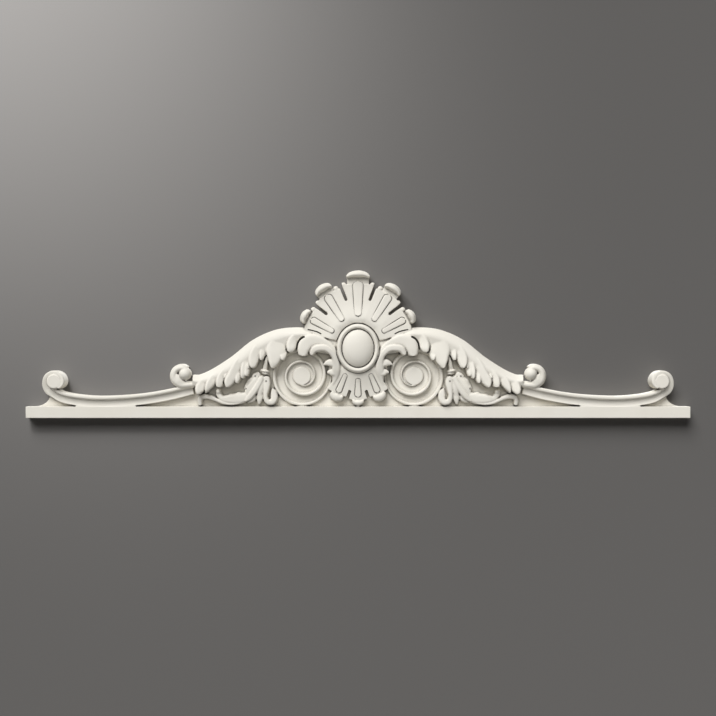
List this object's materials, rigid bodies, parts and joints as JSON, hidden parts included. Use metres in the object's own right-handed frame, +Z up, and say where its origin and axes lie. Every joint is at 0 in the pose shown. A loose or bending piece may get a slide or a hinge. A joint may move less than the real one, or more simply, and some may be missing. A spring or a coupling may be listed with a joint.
{
  "type": "overdoor relief ornament",
  "caption": "Long flat-backed relief ornament for the wall above a door: palmette and oval boss between acanthus wings and volutes, on a straight rail with scrolled bands.",
  "frame": {"origin": "on the flat back that lies against the wall, on the centre line, at half the height of the rail", "axes": "+X along the rail to the right as seen from the front, +Y into the wall, +Z up; the carved front faces -Y"},
  "size_m": [1.335, 0.054, 0.2956],
  "materials": {
    "paint": "matte warm off-white paint on a smooth casting"
  },
  "bodies": {
    "root": {"overdoor_ornament": "paint"}
  },
  "joints": []
}
